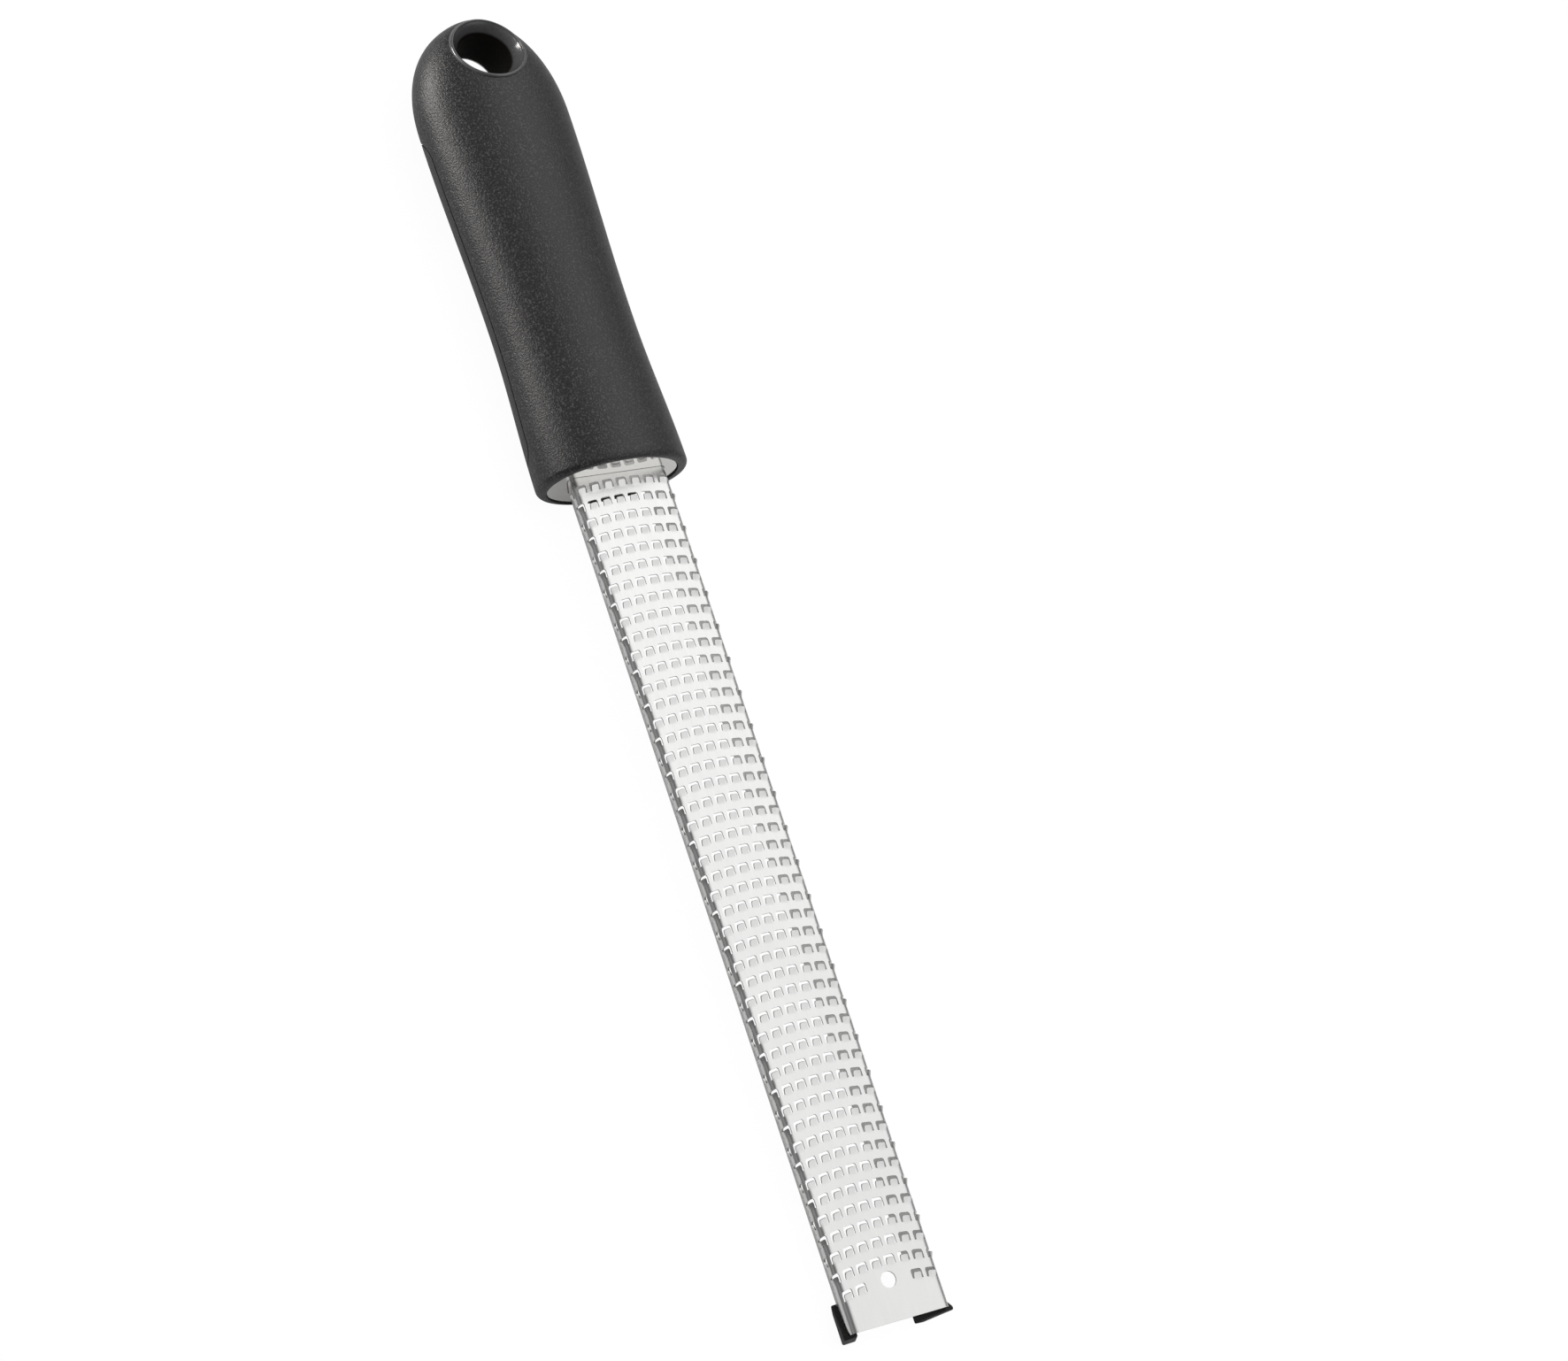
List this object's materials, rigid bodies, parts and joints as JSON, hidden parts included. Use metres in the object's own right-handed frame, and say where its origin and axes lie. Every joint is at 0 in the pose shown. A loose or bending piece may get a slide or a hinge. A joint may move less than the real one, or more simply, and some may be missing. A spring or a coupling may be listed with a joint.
{
  "type": "rasp zester",
  "caption": "Long narrow rasp zester with an etched stainless channel blade, rubber tip feet, an oval end plate and a dark grip with a hanging hole.",
  "frame": {"origin": "middle of the bounding box, at the height of the handle's lowest point", "axes": "+X along the blade from the handle towards the tip, +Z out of the cutting face, +Y across the blade"},
  "size_m": [0.3262, 0.0386, 0.0259],
  "materials": {
    "blade_steel": "satin",
    "plate_steel": "polished",
    "grip_grained": "fine grain",
    "grip_smooth": "satin",
    "core_plastic": "moulded",
    "eye_gloss": "gloss",
    "pin_steel": "plain",
    "foot_rubber": "matte"
  },
  "bodies": {
    "root": {"rasp_blade": "blade_steel", "end_plate": "plate_steel", "upper_shell": "grip_grained", "lower_panel": "grip_smooth", "handle_core": "core_plastic", "hang_eye": "eye_gloss", "tang_pins": "pin_steel", "left_foot": "foot_rubber", "right_foot": "foot_rubber"}
  },
  "joints": []
}
